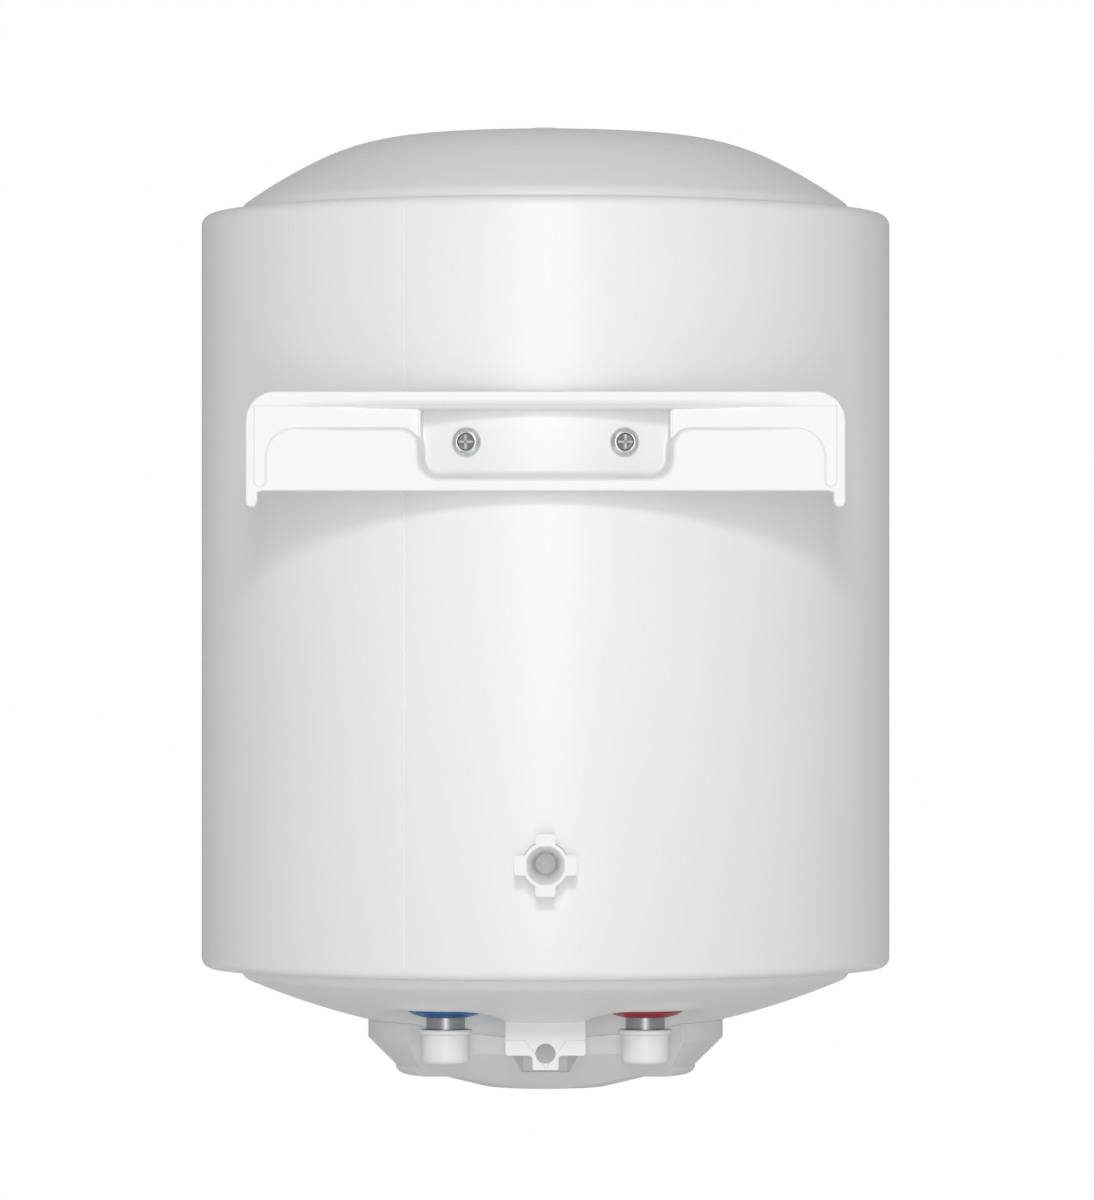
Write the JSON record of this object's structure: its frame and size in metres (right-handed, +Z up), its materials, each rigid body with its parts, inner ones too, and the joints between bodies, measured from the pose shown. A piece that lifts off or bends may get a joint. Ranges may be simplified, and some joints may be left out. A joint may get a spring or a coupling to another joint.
{
  "type": "tank water heater",
  "caption": "Wall-hung electric storage water heater: round insulated white casing, domed cover, hanging bracket, wall spacer, two capped pipes and a control cover below.",
  "frame": {"origin": "wall face of the hanging bracket, at mid-width, in the middle of the flat strip above its lower edge", "axes": "+Z up, -Y towards the wall the heater hangs on, +X to the right seen from the wall; the cold inlet is on -X"},
  "size_m": [0.353, 0.3684, 0.4936],
  "materials": {
    "white_enamel": "white powder coat, satin, faint orange peel",
    "white_plastic": "white moulded ABS, satin",
    "spacer_plastic": "bright white moulded polyethylene",
    "pu_foam": "cream rigid polyurethane foam",
    "tank_enamel": "dark blue vitreous enamel on steel",
    "zinc_steel": "bright zinc plated steel",
    "nipple_steel": "bright turned steel",
    "grey_plastic": "natural grey polypropylene",
    "blue_plastic": "blue moulded plastic",
    "red_plastic": "red moulded plastic",
    "black_rubber": "black EPDM rubber",
    "copper_sheath": "nickel-flashed copper tube",
    "magnesium": "dull cast magnesium",
    "cream_plastic": "cream thermoset",
    "black_plastic": "black polyamide",
    "red_button": "red plastic",
    "brass": "turned brass",
    "brown_wire": "brown silicone insulation",
    "blue_wire": "blue silicone insulation",
    "green_wire": "green insulation with a yellow stripe",
    "amber_lens": "amber translucent lens"
  },
  "bodies": {
    "heater": {"outer_casing": "white_enamel", "top_cover": "white_plastic", "filling_plug": "white_plastic", "bottom_cover": "white_plastic", "foam_insulation": "pu_foam", "tank_shell": "tank_enamel", "tank_top_head": "tank_enamel", "tank_bottom_head": "tank_enamel", "bracket_bosses": "zinc_steel", "wall_bracket": "white_enamel", "bracket_screws": "zinc_steel", "spacer_socket": "spacer_plastic", "cold_nipple": "nipple_steel", "hot_nipple": "nipple_steel", "cold_diffuser": "grey_plastic", "hot_outlet_tube": "nipple_steel", "cold_ring": "blue_plastic", "hot_ring": "red_plastic", "flange_neck": "tank_enamel", "flange_gasket": "black_rubber", "flange_plate": "zinc_steel", "flange_bolts": "zinc_steel", "flange_nuts": "zinc_steel", "heating_element": "copper_sheath", "sensor_pocket": "nipple_steel", "sensor_stem": "nipple_steel", "anode_rod": "magnesium", "anode_nut": "zinc_steel", "thermostat": "cream_plastic", "terminal_block": "cream_plastic", "earth_screw": "brass", "live_wire": "brown_wire", "neutral_wire": "blue_wire", "earth_wire": "green_wire", "control_cover": "white_plastic", "cover_screws": "zinc_steel", "fixing_tab": "white_enamel", "indicator_lamp": "amber_lens", "cable_grommet": "black_rubber"},
    "cold_cap": {"cold_cap": "spacer_plastic"},
    "hot_cap": {"hot_cap": "spacer_plastic"},
    "wall_spacer": {"wall_spacer": "spacer_plastic"},
    "thermostat_dial": {"thermostat_dial": "black_plastic"},
    "reset_button": {"reset_button": "red_button"}
  },
  "joints": [
    {"name": "cold_cap_pull", "type": "slide", "parent": "heater", "child": "cold_cap", "axis": [0, 0, -1], "range_m": [0, 0.06]},
    {"name": "hot_cap_pull", "type": "slide", "parent": "heater", "child": "hot_cap", "axis": [0, 0, -1], "range_m": [0, 0.06]},
    {"name": "spacer_screw", "type": "slide", "parent": "heater", "child": "wall_spacer", "axis": [0, -1, 0], "range_m": [-0.002, 0.012]},
    {"name": "dial_turn", "type": "hinge", "parent": "heater", "child": "thermostat_dial", "pos_m": [0.009, 0.197, -0.28], "axis": [0, 0, -1], "range_deg": [0, 270]},
    {"name": "reset_press", "type": "slide", "parent": "heater", "child": "reset_button", "axis": [0, 0, 1], "range_m": [0, 0.0015], "stiffness_N_per_m": 400}
  ]
}
